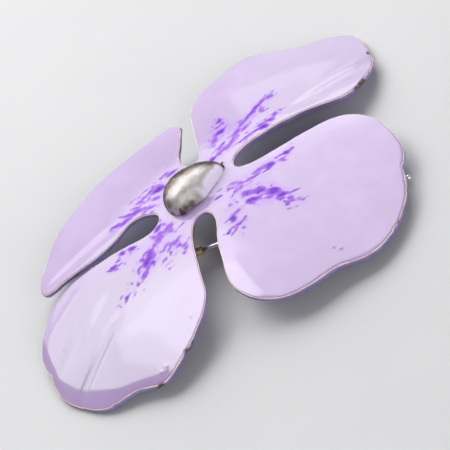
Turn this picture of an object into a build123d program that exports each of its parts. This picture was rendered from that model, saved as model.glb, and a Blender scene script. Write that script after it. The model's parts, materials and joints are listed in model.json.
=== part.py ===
from build123d import *
import math
import os

# Enamelled flower hat pin, in millimetres. The flower lies face up, +Z is its normal, and X runs
# along its longest spread. It is drawn around its hub, with z = 0 on the front enamel there, and
# each piece is then moved so that the origin is at the bottom centre of the whole pin's box.

# Flower sheet
CORE_THICKNESS = 0.5
FRONT_THICKNESS = 0.3
BACK_THICKNESS = 0.25
SHEET_THICKNESS = FRONT_THICKNESS + CORE_THICKNESS + BACK_THICKNESS
FLAT_RADIUS = 5.5        # flat disc at the hub, where the fittings are clamped
DROOP_RADIUS = 120.0     # radius of the arc that the petals bend down along
SHEET_REACH = 50.0       # past the longest petal
CUT_REACH = 30.0         # half-height of the cutters, taller than the pin is deep
FRONT_HOLE_RADIUS = 2.0
BACK_HOLE_RADIUS = 1.4

# Petal outlines, seen from the front, counter-clockwise from the sharp corner of the left top
# petal's lobe. Each petal starts or ends at a slot's inner end.
LOBE_CORNER = (4.6, 19.1)
SLOT_LEFT = (-8.5, -0.6)
SLOT_BOTTOM = (-1.2, -7.4)
SLOT_RIGHT = (8.6, -1.4)
SLOT_TOP = (2.3, 6.2)
LEFT_TOP_PETAL = [
    LOBE_CORNER, (3.4, 21.2), (0.0, 21.6), (-6.5, 21.1), (-12.5, 21.0), (-18.5, 19.7),
    (-24.3, 17.6), (-29.3, 14.2), (-33.2, 9.6), (-35.4, 6.4), (-34.6, 4.0), (-30.2, 2.5),
    (-23.0, 1.2), (-17.5, 1.5), (-13.2, 2.7), (-10.2, 1.6), SLOT_LEFT,
]
LEFT_BOTTOM_PETAL = [
    (-9.4, -2.2), (-12.2, -3.1), (-16.7, -1.8), (-22.9, -0.4), (-28.8, 0.5), (-33.5, -0.3),
    (-38.0, -3.3), (-41.2, -8.2), (-41.3, -13.5), (-41.5, -18.0), (-38.8, -24.0),
    (-34.1, -28.6), (-28.2, -30.3), (-23.8, -32.8), (-19.0, -31.9), (-13.5, -28.9),
    (-9.1, -24.5), (-7.6, -19.5), (-6.3, -14.3), (-4.4, -9.2), (-2.9, -7.6), SLOT_BOTTOM,
]
RIGHT_BOTTOM_PETAL = [
    (-0.2, -9.0), (-1.7, -14.5), (-3.4, -20.5), (-4.4, -25.8), (-2.8, -30.5), (0.3, -33.6),
    (6.3, -35.3), (13.2, -35.3), (17.5, -36.2), (22.3, -35.3), (26.8, -32.3), (31.0, -27.1),
    (32.7, -23.0), (34.7, -19.5), (35.4, -14.0), (34.3, -8.0), (30.6, -4.2), (24.5, -3.3),
    (16.5, -3.5), (11.0, -3.0), SLOT_RIGHT,
]
RIGHT_TOP_PETAL = [
    (9.5, 0.8), (12.5, 2.1), (19.0, 2.5), (26.8, 1.9), (34.0, 1.2), (38.4, 3.7), (41.8, 7.4),
    (42.7, 11.0), (43.5, 16.0), (42.9, 20.1), (39.8, 22.8), (34.3, 24.3), (28.8, 27.3),
    (24.0, 30.5), (20.5, 30.4), (15.7, 28.3), (10.5, 25.8), (7.8, 22.0), (6.0, 15.0),
    (4.6, 9.0), (3.9, 7.0), SLOT_TOP,
]
LEFT_TOP_LOBE = [(0.9, 7.6), (0.9, 10.2), (2.2, 13.2), LOBE_CORNER]
OUTLINE_SPANS = 12

# Silver boss in its claw seat
BOSS_HALF_X = 6.6
BOSS_HALF_Y = 4.5
BOSS_WALL = 0.5
SHELL_HEIGHT = 3.4
BASE_THICKNESS = 0.35
SEAT_THICKNESS = 0.25
SEAT_LIP = 0.3          # the seat stands this far outside the boss
CLAW_WIDTH = 0.9
CLAW_HEIGHT = 1.3
CLAW_THICKNESS = 0.25
CLAW_ANGLES = (5, 130, 235)

# Stud, nut and washer behind the flower
STUD_RADIUS = 0.8
STUD_END = 0.4           # thread that shows past the nut
CORE_HOLE_RADIUS = 0.85
WASHER_RADIUS = 3.0
WASHER_THICKNESS = 0.6
NUT_ACROSS_FLATS = 3.2
NUT_THICKNESS = 1.3
NUT_CHAMFER = 0.2

# Hinge bracket: a plate under the hub, with an arm to a pair of ears
PLATE_THICKNESS = 0.6
PLATE_RADIUS = 3.2
ARM_WIDTH = 3.0
PAD_LENGTH = 3.4
EAR_THICKNESS = 0.6
EAR_RADIUS = 1.25
EAR_LENGTH = 2.2
HINGE_DROP = 2.75        # from the plate's underside to the hinge axis
SIDE_CLEARANCE = 0.1     # each side of the knuckle, between the ears

# Rivet and knuckle
RIVET_RADIUS = 0.42
RIVET_CLEARANCE = 0.04
RIVET_HEAD_RADIUS = 0.78
RIVET_HEAD = 0.3
RIVET_CHAMFER = 0.18
KNUCKLE_RADIUS = 1.1
KNUCKLE_WIDTH = 2.0
SOCKET_RADIUS = 0.85
SOCKET_START = 0.7
SOCKET_END = 5.0
SOCKET_CHAMFER = 0.2

# Stem, measured along its line from the hinge axis
STEM_RADIUS = 0.5
TANG_RADIUS = 0.33       # the root, thinned to fit the socket
STEM_START = 1.3
SHOULDER = 5.5
TAPER_START = 28.5
STEM_TIP = 40.8
POINT_RADIUS = 0.06

# Guard on the stem's point
GUARD_START = 29.0
GUARD_END = 42.2
GUARD_RADIUS = 1.0
GUARD_BORE = 0.7
GUARD_LIP = 0.08
GUARD_LIP_LENGTH = 0.6
GROOVE_DEPTH = 0.1
GROOVE_WIDTH = 0.3
GROOVES = (31.2, 32.0, 32.8, 33.6)
GRIP_CLEARANCE = 0.03
GRIP_START = 29.8
GRIP_END = 39.0
CAP_PLUG = 0.6
CAP_SHOULDER = 0.5
CAP_RADIUS = 0.9
KNOB_RADIUS = 0.58
KNOB_END = 45.6
GUARD_TRAVEL = 12.5      # clear of the point

# Heights of the stack under the hub
SHEET_BACK = -SHEET_THICKNESS
WASHER_BACK = SHEET_BACK - WASHER_THICKNESS
PLATE_BACK = WASHER_BACK - PLATE_THICKNESS
NUT_BACK = PLATE_BACK - NUT_THICKNESS
BASE_TOP = SEAT_THICKNESS + BASE_THICKNESS

# The stem's line: from the hinge axis to the guard's far end
PIVOT = Vector(-9.9, -8.1, PLATE_BACK - HINGE_DROP)
STEM_TARGET = Vector(32.6, -23.4, -7.6)
STEM_DIRECTION = (STEM_TARGET - PIVOT).normalized()
HINGE_AXIS = Vector(0, 0, 1).cross(STEM_DIRECTION).normalized()
STEM_FRAME = Plane(origin=PIVOT, x_dir=STEM_DIRECTION, z_dir=STEM_DIRECTION.cross(HINGE_AXIS))
STEM_HEADING = math.degrees(math.atan2(STEM_DIRECTION.Y, STEM_DIRECTION.X))


def petal_outline():
    """The closed outline of the whole flower: one curve round all the petals, with its ends meeting
    at the lobe's corner. It is cut into spans, because a solid with one long wiggly edge comes out
    with the wrong volume.
    """
    petals = LEFT_TOP_PETAL + LEFT_BOTTOM_PETAL + RIGHT_BOTTOM_PETAL + RIGHT_TOP_PETAL
    curve = Spline(petals + LEFT_TOP_LOBE)
    cuts = [i / OUTLINE_SPANS for i in range(OUTLINE_SPANS + 1)]
    return Wire([curve.trim(start, end) for start, end in zip(cuts, cuts[1:])])


def domed_layer(top, bottom):
    """A round domed sheet between two depths below the front surface: flat, then an arc down."""
    turn = math.asin((SHEET_REACH - FLAT_RADIUS) / DROOP_RADIUS)
    centre = (FLAT_RADIUS, -DROOP_RADIUS)

    def arc_end(depth, angle):
        radius = DROOP_RADIUS - depth
        return (centre[0] + radius * math.sin(angle), centre[1] + radius * math.cos(angle))

    upper = ThreePointArc(arc_end(top, 0), arc_end(top, turn / 2), arc_end(top, turn))
    lower = ThreePointArc(arc_end(bottom, turn), arc_end(bottom, turn / 2), arc_end(bottom, 0))
    profile = Wire([
        Line((0, -top), arc_end(top, 0)),
        upper,
        Line(arc_end(top, turn), arc_end(bottom, turn)),
        lower,
        Line(arc_end(bottom, 0), (0, -bottom)),
        Line((0, -bottom), (0, -top)),
    ])
    return revolve(Plane.XZ * Face(profile), Axis.Z, 360)


def flower_layer(top, bottom, hole_radius):
    """One layer of the flower: the domed sheet cut to the petals, with its hub hole."""
    prism = extrude(Face(petal_outline()), amount=CUT_REACH, both=True)
    hole = Cylinder(hole_radius, CUT_REACH)
    return (domed_layer(top, bottom) & prism) - hole


def oval_plate(half_x, half_y, thickness):
    """A flat oval plate that stands on z = 0."""
    return extrude(Ellipse(half_x, half_y), amount=thickness)


def half_pebble(half_x, half_y, height):
    """The upper half of an ellipsoid, on z = 0."""
    ball = Solid.make_sphere(1.0, angle1=0, angle2=90, angle3=360)
    return scale(ball, by=(half_x, half_y, height))


def boss_shell():
    outer = half_pebble(BOSS_HALF_X, BOSS_HALF_Y, SHELL_HEIGHT)
    inner = half_pebble(BOSS_HALF_X - BOSS_WALL, BOSS_HALF_Y - BOSS_WALL, SHELL_HEIGHT - BOSS_WALL)
    return Pos(0, 0, BASE_TOP) * (outer - inner)


def boss_base():
    plate = oval_plate(BOSS_HALF_X, BOSS_HALF_Y, BASE_THICKNESS) - Cylinder(STUD_RADIUS, CUT_REACH)
    return Pos(0, 0, SEAT_THICKNESS) * plate


def boss_stud():
    """The threaded stud, from the boss's base down through the flower, bracket and nut."""
    length = BASE_TOP - NUT_BACK + STUD_END
    stud = Cylinder(STUD_RADIUS, length, align=(Align.CENTER, Align.CENTER, Align.MAX))
    return Pos(0, 0, BASE_TOP) * stud


def claw(angle):
    """One claw, standing on the seat just outside the boss."""
    turn = math.radians(angle)
    half_x = BOSS_HALF_X + SEAT_LIP / 2
    half_y = BOSS_HALF_Y + SEAT_LIP / 2
    place = Pos(half_x * math.cos(turn), half_y * math.sin(turn), 0)
    normal = math.degrees(math.atan2(BOSS_HALF_X * math.sin(turn), BOSS_HALF_Y * math.cos(turn)))
    post = Box(CLAW_THICKNESS, CLAW_WIDTH, CLAW_HEIGHT, align=(Align.CENTER, Align.CENTER, Align.MIN))
    return place * Rot(0, 0, normal) * post


def claw_seat():
    seat = oval_plate(BOSS_HALF_X + SEAT_LIP, BOSS_HALF_Y + SEAT_LIP, SEAT_THICKNESS)
    seat -= Cylinder(STUD_RADIUS, CUT_REACH)
    clearance = Pos(0, 0, SEAT_THICKNESS) * oval_plate(BOSS_HALF_X, BOSS_HALF_Y, CLAW_HEIGHT)
    claws = [claw(angle) - clearance for angle in CLAW_ANGLES]
    return seat + claws


def back_washer():
    ring = Cylinder(WASHER_RADIUS, WASHER_THICKNESS) - Cylinder(CORE_HOLE_RADIUS, WASHER_THICKNESS)
    return Pos(0, 0, SHEET_BACK - WASHER_THICKNESS / 2) * ring


def stud_nut():
    flat_radius = NUT_ACROSS_FLATS / 2
    blank = extrude(RegularPolygon(flat_radius, 6, major_radius=False), amount=NUT_THICKNESS)
    blank &= Cylinder(flat_radius / math.cos(math.radians(30)), NUT_THICKNESS,
                      align=(Align.CENTER, Align.CENTER, Align.MIN))
    nut = blank - Cylinder(STUD_RADIUS, CUT_REACH)
    rim = nut.edges().filter_by(Plane.XY).group_by(Axis.Z)[0].filter_by(GeomType.LINE)
    nut = chamfer(rim, NUT_CHAMFER)
    return Pos(0, 0, NUT_BACK) * nut


def hinge_place():
    """Upright frame at the hinge axis, with x along the stem's heading."""
    return Pos(PIVOT.X, PIVOT.Y, 0) * Rot(0, 0, STEM_HEADING)


def ear(side):
    """One ear under the pad, with its rivet hole. side is 1 or -1."""
    offset = side * (KNUCKLE_WIDTH / 2 + SIDE_CLEARANCE + EAR_THICKNESS / 2)
    web = Pos(0, 0, HINGE_DROP / 2) * Box(EAR_LENGTH, EAR_THICKNESS, HINGE_DROP)
    eye = Rot(90, 0, 0) * Cylinder(EAR_RADIUS, EAR_THICKNESS)
    hole = Rot(90, 0, 0) * Cylinder(RIVET_RADIUS, 2 * EAR_THICKNESS)
    return Pos(0, offset, PIVOT.Z) * (web + eye - hole)


def hinge_bracket():
    """The plate under the hub, its arm, the pad over the hinge and the two ears, in one piece."""
    arm_length = math.hypot(PIVOT.X, PIVOT.Y)
    arm_heading = math.degrees(math.atan2(PIVOT.Y, PIVOT.X))
    pad_width = KNUCKLE_WIDTH + 2 * (SIDE_CLEARANCE + EAR_THICKNESS)
    disc = Cylinder(PLATE_RADIUS, PLATE_THICKNESS)
    arm = Pos(arm_length / 2, 0, 0) * Box(arm_length, ARM_WIDTH, PLATE_THICKNESS)
    arm = Rot(0, 0, arm_heading) * arm
    plate = Pos(0, 0, PLATE_BACK + PLATE_THICKNESS / 2) * (disc + arm - Cylinder(STUD_RADIUS, CUT_REACH))
    pad = Pos(0, 0, PLATE_BACK + PLATE_THICKNESS / 2) * Box(PAD_LENGTH, pad_width, PLATE_THICKNESS)
    return plate + hinge_place() * (pad + ear(1) + ear(-1))


def hinge_rivet():
    """The rivet, held in both ears, with a domed head outside each."""
    reach = KNUCKLE_WIDTH / 2 + SIDE_CLEARANCE + EAR_THICKNESS
    shank = Rot(90, 0, 0) * Cylinder(RIVET_RADIUS, 2 * reach)
    head = Cylinder(RIVET_HEAD_RADIUS, RIVET_HEAD, align=(Align.CENTER, Align.CENTER, Align.MIN))
    head = chamfer(head.edges().group_by(Axis.Z)[-1], RIVET_CHAMFER)
    far = Pos(0, reach, 0) * Rot(-90, 0, 0) * head
    near = Pos(0, -reach, 0) * Rot(90, 0, 0) * head
    return hinge_place() * Pos(0, 0, PIVOT.Z) * (shank + far + near)


def along_stem(*profile):
    """A turned piece on the stem's line, from (distance, radius) points."""
    outline = Face(Wire(Polyline(*profile, close=True)))
    return STEM_FRAME.location * revolve(outline, Axis.X, 360)


def stem_knuckle():
    """The knuckle between the ears and the socket that holds the stem's root."""
    barrel = Rot(90, 0, 0) * Cylinder(KNUCKLE_RADIUS, KNUCKLE_WIDTH)
    length = SOCKET_END - SOCKET_START
    socket = Pos(SOCKET_START + length / 2, 0, 0) * Rot(0, 90, 0) * Cylinder(SOCKET_RADIUS, length)
    socket = chamfer(socket.edges().group_by(Axis.X)[-1], SOCKET_CHAMFER)
    bore_length = SOCKET_END - STEM_START
    stem_bore = Rot(0, 90, 0) * Cylinder(TANG_RADIUS, bore_length)
    stem_bore = Pos(STEM_START + bore_length / 2, 0, 0) * stem_bore
    rivet_bore = Rot(90, 0, 0) * Cylinder(RIVET_RADIUS + RIVET_CLEARANCE, 2 * KNUCKLE_WIDTH)
    return STEM_FRAME.location * (barrel + socket - stem_bore - rivet_bore)


def stem():
    """The stem: a tang in the socket, the straight wire, and the long taper to the point."""
    return along_stem(
        (STEM_START, 0), (STEM_START, TANG_RADIUS), (SHOULDER, TANG_RADIUS), (SHOULDER, STEM_RADIUS),
        (TAPER_START, STEM_RADIUS), (STEM_TIP - POINT_RADIUS, POINT_RADIUS), (STEM_TIP, 0),
    )


def guard_barrel():
    """The tubular guard: a turned lip at its mouth, and four shallow finger grooves."""
    lip_end = GUARD_START + GUARD_LIP_LENGTH
    lip_radius = GUARD_RADIUS + GUARD_LIP
    floor_radius = GUARD_RADIUS - GROOVE_DEPTH
    outside = [(GUARD_START, lip_radius), (lip_end, lip_radius), (lip_end, GUARD_RADIUS)]
    for start in GROOVES:
        end = start + GROOVE_WIDTH
        outside += [(start, GUARD_RADIUS), (start, floor_radius), (end, floor_radius), (end, GUARD_RADIUS)]
    outside += [(GUARD_END, GUARD_RADIUS), (GUARD_END, GUARD_BORE)]
    return along_stem((GUARD_START, GUARD_BORE), *outside)


def guard_grip():
    """The soft tube inside the barrel that holds the stem."""
    bore = STEM_RADIUS + GRIP_CLEARANCE
    return along_stem(
        (GRIP_START, bore), (GRIP_START, GUARD_BORE), (GRIP_END, GUARD_BORE), (GRIP_END, bore),
    )


def guard_cap():
    """The plug in the barrel's far end, its shoulder, and the knob that is gripped to pull it off."""
    shoulder_end = GUARD_END + CAP_SHOULDER
    round_off = KNOB_RADIUS / 2
    return along_stem(
        (GUARD_END - CAP_PLUG, 0), (GUARD_END - CAP_PLUG, GUARD_BORE), (GUARD_END, GUARD_BORE),
        (GUARD_END, CAP_RADIUS), (shoulder_end, KNOB_RADIUS),
        (KNOB_END - round_off, KNOB_RADIUS), (KNOB_END, round_off), (KNOB_END, 0),
    )


def flower_pieces():
    front_back = FRONT_THICKNESS
    core_back = FRONT_THICKNESS + CORE_THICKNESS
    return {
        "front_enamel": flower_layer(0, front_back, FRONT_HOLE_RADIUS),
        "flower_core": flower_layer(front_back, core_back, CORE_HOLE_RADIUS),
        "back_enamel": flower_layer(core_back, SHEET_THICKNESS, BACK_HOLE_RADIUS),
    }


def all_pieces():
    pieces = flower_pieces()
    pieces["boss_shell"] = boss_shell()
    pieces["boss_base"] = boss_base()
    pieces["boss_stud"] = boss_stud()
    pieces["claw_seat"] = claw_seat()
    pieces["back_washer"] = back_washer()
    pieces["hinge_bracket"] = hinge_bracket()
    pieces["stud_nut"] = stud_nut()
    pieces["hinge_rivet"] = hinge_rivet()
    pieces["stem_knuckle"] = stem_knuckle()
    pieces["stem"] = stem()
    pieces["guard_barrel"] = guard_barrel()
    pieces["guard_grip"] = guard_grip()
    pieces["guard_cap"] = guard_cap()
    return pieces


def single_shape(piece):
    """The piece as one solid, or as a compound where it has several."""
    solids = piece.solids()
    return solids[0] if len(solids) == 1 else Compound(children=list(solids))


def main():
    os.makedirs("parts", exist_ok=True)
    pieces = {name: single_shape(piece) for name, piece in all_pieces().items()}
    boxes = [piece.bounding_box() for piece in pieces.values()]
    low = [min(getattr(box.min, axis) for box in boxes) for axis in "XYZ"]
    high = [max(getattr(box.max, axis) for box in boxes) for axis in "XYZ"]
    shift = Vector(-(low[0] + high[0]) / 2, -(low[1] + high[1]) / 2, -low[2])
    for name, piece in pieces.items():
        export_step(Pos(shift.X, shift.Y, shift.Z) * piece, f"parts/{name}.step")
    print("size", [round(h - l, 3) for l, h in zip(low, high)])
    print("hub", shift)
    print("hinge point", PIVOT + shift, "axis", HINGE_AXIS)
    middle_of_stem = (SHOULDER + TAPER_START) / 2
    print("stem middle", PIVOT + shift + STEM_DIRECTION * middle_of_stem, "direction", STEM_DIRECTION)
    print("straight stem", TAPER_START - SHOULDER, "guard travel", GUARD_TRAVEL)


main()
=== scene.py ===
import json
import math

import bmesh
import bpy
import numpy as np
from mathutils import Matrix, Vector, geometry, noise


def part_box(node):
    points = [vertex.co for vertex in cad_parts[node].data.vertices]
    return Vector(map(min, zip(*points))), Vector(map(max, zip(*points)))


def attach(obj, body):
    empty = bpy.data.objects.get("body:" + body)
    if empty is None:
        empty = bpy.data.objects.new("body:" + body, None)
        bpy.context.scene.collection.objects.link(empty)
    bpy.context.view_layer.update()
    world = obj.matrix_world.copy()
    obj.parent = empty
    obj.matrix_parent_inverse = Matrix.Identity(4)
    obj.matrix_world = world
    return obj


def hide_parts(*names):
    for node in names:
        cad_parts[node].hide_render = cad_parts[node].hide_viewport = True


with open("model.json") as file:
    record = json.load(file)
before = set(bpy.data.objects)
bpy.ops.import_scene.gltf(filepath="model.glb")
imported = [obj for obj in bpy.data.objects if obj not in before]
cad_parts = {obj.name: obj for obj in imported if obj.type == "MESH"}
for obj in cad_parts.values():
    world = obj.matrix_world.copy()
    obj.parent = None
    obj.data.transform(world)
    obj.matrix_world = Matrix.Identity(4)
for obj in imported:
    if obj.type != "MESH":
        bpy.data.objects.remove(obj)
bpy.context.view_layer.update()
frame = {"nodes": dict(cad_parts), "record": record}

# Enamelled flower hat pin. Shapes are worked out in millimetres around the flower's hub, with z = 0
# on the front glaze there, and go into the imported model's frame in metres as meshes are made.

MM = 0.001
RECORD = frame["record"]


def hub_point():
    low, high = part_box("boss_stud")
    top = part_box("front_enamel")[1][2]
    return np.array([(low[0] + high[0]) / 2, (low[1] + high[1]) / 2, top])


HUB = hub_point()

# Sheet of the flower
FRONT_THICKNESS = 0.3
CORE_THICKNESS = 0.5
CORE_BACK = FRONT_THICKNESS + CORE_THICKNESS      # depth of the copper's back
SHEET_THICKNESS = 1.05
FLAT_RADIUS = 5.5
DROOP_RADIUS = 120.0

# Petal outlines, counter-clockwise from the sharp corner of the left top petal's lobe
LOBE_CORNER = (4.6, 19.1)
SLOT_LEFT = (-8.5, -0.6)
SLOT_BOTTOM = (-1.2, -7.4)
SLOT_RIGHT = (8.6, -1.4)
SLOT_TOP = (2.3, 6.2)
LEFT_TOP_PETAL = [
    LOBE_CORNER, (3.4, 21.2), (0, 21.6), (-6.5, 21.1), (-12.5, 21), (-18.5, 19.7),
    (-24.3, 17.6), (-29.3, 14.2), (-33.2, 9.6), (-35.4, 6.4), (-34.6, 4), (-30.2, 2.5),
    (-23, 1.2), (-17.5, 1.5), (-13.2, 2.7), (-10.2, 1.6), SLOT_LEFT,
]
LEFT_BOTTOM_PETAL = [
    (-9.4, -2.2), (-12.2, -3.1), (-16.7, -1.8), (-22.9, -0.4), (-28.8, 0.5), (-33.5, -0.3),
    (-38, -3.3), (-41.2, -8.2), (-41.3, -13.5), (-41.5, -18), (-38.8, -24),
    (-34.1, -28.6), (-28.2, -30.3), (-23.8, -32.8), (-19, -31.9), (-13.5, -28.9),
    (-9.1, -24.5), (-7.6, -19.5), (-6.3, -14.3), (-4.4, -9.2), (-2.9, -7.6), SLOT_BOTTOM,
]
RIGHT_BOTTOM_PETAL = [
    (-0.2, -9), (-1.7, -14.5), (-3.4, -20.5), (-4.4, -25.8), (-2.8, -30.5), (0.3, -33.6),
    (6.3, -35.3), (13.2, -35.3), (17.5, -36.2), (22.3, -35.3), (26.8, -32.3), (31, -27.1),
    (32.7, -23), (34.7, -19.5), (35.4, -14), (34.3, -8), (30.6, -4.2), (24.5, -3.3),
    (16.5, -3.5), (11, -3), SLOT_RIGHT,
]
RIGHT_TOP_PETAL = [
    (9.5, 0.8), (12.5, 2.1), (19, 2.5), (26.8, 1.9), (34, 1.2), (38.4, 3.7), (41.8, 7.4),
    (42.7, 11), (43.5, 16), (42.9, 20.1), (39.8, 22.8), (34.3, 24.3), (28.8, 27.3),
    (24, 30.5), (20.5, 30.4), (15.7, 28.3), (10.5, 25.8), (7.8, 22), (6, 15),
    (4.6, 9), (3.9, 7), SLOT_TOP,
]
LEFT_TOP_LOBE = [(0.9, 7.6), (0.9, 10.2), (2.2, 13.2), LOBE_CORNER]

# Spacing of mesh points along the edge, on the glaze within the painted reach, and beyond it
EDGE_SPACING = 0.22
FINE_SPACING = 0.22
FAR_SPACING = 0.6
PAINTED_REACH = 28

# Soft folds pressed into the petals: start, end, half-width, height (a groove if negative)
FOLDS = [
    ((-22.5, -13.8), (-38.5, -22.9), 1, -0.31),
    ((-28, -8), (-37.8, -14.3), 1.1, -0.16),
    ((-20, -7.8), (-32, -14.2), 2.2, -0.15),
    ((-21, -0.9), (-38.5, -7), 1.8, 0.08),
    ((-22, -15.8), (-33, -27), 2.6, 0.12),
    ((22, 4.3), (39.5, 7), 1.1, -0.16),
    ((26, 6.2), (40, 10.6), 1.6, 0.14),
    ((27, 2.6), (38, 3.9), 1.1, 0.08),
    ((-12.5, 4.2), (-32, 4.6), 1.1, -0.09),
    ((-15, 2.5), (-30, 3), 0.9, 0.03),
    ((-1.6, -19.5), (-0.6, -31), 1.3, 0.14),
]

# The left bottom petal's tip is turned down outside this line
BEND_CENTRE = (-21.0, -14.0)
BEND_LINE = [
    (-35.4, -1.3), (-38.1, -5.5), (-39.5, -8.5), (-39.6, -12), (-40, -15.3), (-39.5, -18.6),
    (-38, -21.3), (-35.7, -23.7), (-33.5, -25.7), (-31.6, -27.2), (-29.4, -28),
    (-27, -28.7), (-24.9, -30), (-23.2, -31.2), (-21.6, -32.2),
]
BEND_SLOPE = math.tan(math.radians(11))
BEND_SOFTNESS = 0.2

# Bubbles under the glaze: x, y, radius, height
BUBBLES = [
    (-21.9, -30.9, 0.45, 0.1), (-23, -31.2, 0.35, 0.1), (-22.2, -31.5, 0.25, 0.08),
    (-30.3, -12.5, 0.4, -0.03), (14, -31.3, 0.35, 0.06), (14.9, -32.3, 0.35, 0.07),
    (-13.5, -26.2, 0.25, 0.05),
]

# Small nicks in the sawn edge: x, y, depth, width
NICKS = [
    (42.7, 11.2, 0.45, 0.55), (42.9, 13.9, 0.15, 0.6), (40.9, 6.3, 0.25, 0.4), (32.8, -22.6, 0.3, 0.5),
    (30.4, -27.8, 0.15, 0.5), (24.5, -33.9, 0.2, 0.5), (-17.5, -31.2, 0.25, 0.5),
    (-33.5, -28.9, 0.2, 0.6), (-41.3, -13.4, 0.2, 0.6), (-24.4, -32.6, 0.2, 0.5),
]

# Brush dabs on the glaze. Each fan has the bearing of its strokes, and its dabs are
# (distance from the hub, bearing, half length, half width, depth of colour), with lengths in
# tenths of a millimetre and depth in hundredths.
DAB_UNITS = (10, 1, 10, 10, 100)
DAB_FANS = {
    "right_top_inner": (12, [
        (171, 50, 8, 6, 85), (165, 46, 8, 6, 75), (142, 44, 11, 10, 110), (132, 47, 9, 8, 45),
        (118, 45, 9, 9, 60), (103, 43, 7, 6, 50), (95, 37, 15, 4, 40), (179, 50, 3, 4, 60),
        (122, 52, 3, 4, 40),
    ]),
    "right_top_middle": (33, [
        (70, 33, 10, 5, 95), (94, 28, 22, 5, 50), (96, 33, 18, 4, 40), (109, 24, 16, 5, 35),
        (122, 27, 13, 4, 40), (143, 29, 15, 8, 60), (166, 30, 13, 7, 60), (161, 25, 14, 8, 50),
        (190, 30, 20, 6, 85), (214, 30, 19, 6, 85), (233, 30, 11, 6, 70), (246, 28, 8, 5, 60),
        (260, 29, 15, 3.5, 50), (207, 24, 6, 5, 70), (184, 26, 22, 2.5, 40), (252, 27, 5, 3, 45),
        (130, 23, 12, 6, 35),
    ]),
    "right_top_outer": (6, [
        (129, 17, 12, 3.5, 50), (144, 16, 12, 4, 60), (159, 15, 13, 3.5, 60), (176, 13, 12, 8, 110),
        (192, 15, 9, 4, 50), (199, 13, 8, 6, 65), (213, 15, 7, 4.5, 85), (226, 15, 5, 3.5, 65),
        (116, 19, 10, 3, 40),
    ]),
    "right_bottom_upper": (-2, [
        (114, -37, 8, 8, 50), (127, -30, 10, 7, 35), (138, -28, 13, 6, 50), (154, -26, 12, 10, 90),
        (166, -21, 6, 4, 50), (178, -24, 6, 8, 50), (186, -19, 8, 6, 95), (197, -18, 6, 4, 50),
        (120, -36, 4, 4, 45), (186, -26, 4, 3, 30),
    ]),
    "right_bottom_middle": (-18, [
        (69, -68, 11, 4, 80), (82, -49, 15, 11, 30), (84, -40, 10, 6, 50), (100, -41, 9, 7, 50),
        (104, -50, 14, 10, 35), (122, -54, 15, 12, 60), (140, -59, 13, 8, 90), (144, -49, 14, 10, 80),
        (153, -56, 10, 8, 45), (172, -54, 11, 7, 40), (176, -49, 14, 10, 100), (160, -49, 14, 5, 50),
        (194, -51, 10, 8, 85), (198, -50, 8, 5, 75), (210, -51, 7, 3, 40), (215, -56, 5, 5, 85),
        (225, -53, 9, 3, 45), (232, -51, 6, 2.5, 40), (240, -52, 4, 3, 40), (234, -56, 4, 3, 30),
        (180, -59, 6, 4, 30),
    ]),
    "right_bottom_lower": (8, [
        (106, -71, 6, 3.5, 60), (116, -65, 5, 4, 40), (126, -72, 12, 13, 28), (137, -79, 8, 10, 95),
        (157, -77, 7, 6, 40), (156, -73, 6, 5, 40), (159, -82, 7, 8, 50), (172, -79, 4, 4, 45),
        (158, -88, 6, 4, 80), (182, -82, 4, 3, 35), (96, -60, 4, 3, 30),
    ]),
    "left_bottom_middle": (28, [
        (103, -160, 13, 6, 95), (94, -148, 14, 6, 60), (102, -142, 9, 8, 50), (115, -151, 13, 11, 60),
        (132, -150, 13, 11, 50), (133, -139, 12, 5, 55), (143, -135, 7, 5, 50), (126, -131, 10, 5, 45),
        (155, -150, 11, 11, 80), (176, -148, 12, 9, 85), (173, -144, 6, 4, 130), (174, -153, 5, 7, 50),
        (164, -147, 10, 10, 60), (190, -151, 9, 5, 50), (199, -145, 11, 8, 75), (199, -149, 7, 5, 50),
        (220, -146, 5, 6, 60), (223, -150, 6, 4, 50), (236, -146, 5, 4, 35), (242, -148, 4, 3, 35),
        (250, -149, 4, 4, 60), (257, -148, 3, 3, 60), (269, -149, 3, 3, 40), (124, -156, 7, 6, 45),
    ]),
    "left_bottom_right": (22, [
        (129, -131, 8, 5, 50), (136, -124, 10, 10, 30), (144, -121, 8, 13, 35), (156, -122, 4, 4, 70),
        (154, -132, 7, 3.5, 35), (167, -136, 8, 3.5, 40), (174, -130, 8, 3, 35), (186, -130, 4, 4, 30),
        (87, -129, 5, 3, 50), (106, -136, 7, 4, 35),
    ]),
    "left_bottom_edge": (-12, [
        (162, -167, 8, 6, 90), (181, -171, 7, 6, 95), (176, -166, 9, 9, 30), (193, -163, 6, 5, 40),
        (211, -168, 10, 6, 80), (220, -169, 10, 4, 45), (200, -166, 6, 4, 35),
    ]),
    "left_top_lobe": (10, [
        (79, 105, 14, 6, 85), (99, 98, 11, 8, 30), (90, 108, 7, 4, 40),
    ]),
    "left_top_middle": (-4, [
        (80, 134, 15, 8, 100), (96, 130, 8, 4, 60), (88, 139, 14, 5, 60), (98, 138, 13, 3, 55),
        (110, 134, 13, 2.5, 50), (79, 150, 9, 5, 60), (108, 144, 10, 3, 55), (108, 151, 11, 3, 50),
        (120, 148, 11, 3, 50), (128, 143, 8, 3, 40), (138, 147, 6, 3.5, 35), (70, 165, 6, 4, 30),
        (95, 150, 8, 3.5, 40),
    ]),
    "left_top_outer": (-18, [
        (89, 163, 10, 5, 50), (89, 171, 5, 3.5, 45), (100, 161, 11, 7, 50), (108, 166, 8, 5, 45),
        (120, 154, 10, 3, 40), (124, 160, 10, 6, 80), (114, 159, 9, 5, 50), (141, 159, 8, 6, 60),
        (142, 164, 9, 7, 50), (153, 166, 10, 5, 60), (170, 164, 13, 5, 85), (180, 164, 6, 3, 45),
        (132, 162, 8, 5, 40),
    ]),
}
SPATTER_PER_DAB = 6     # faint specks scattered round each dab

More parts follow.
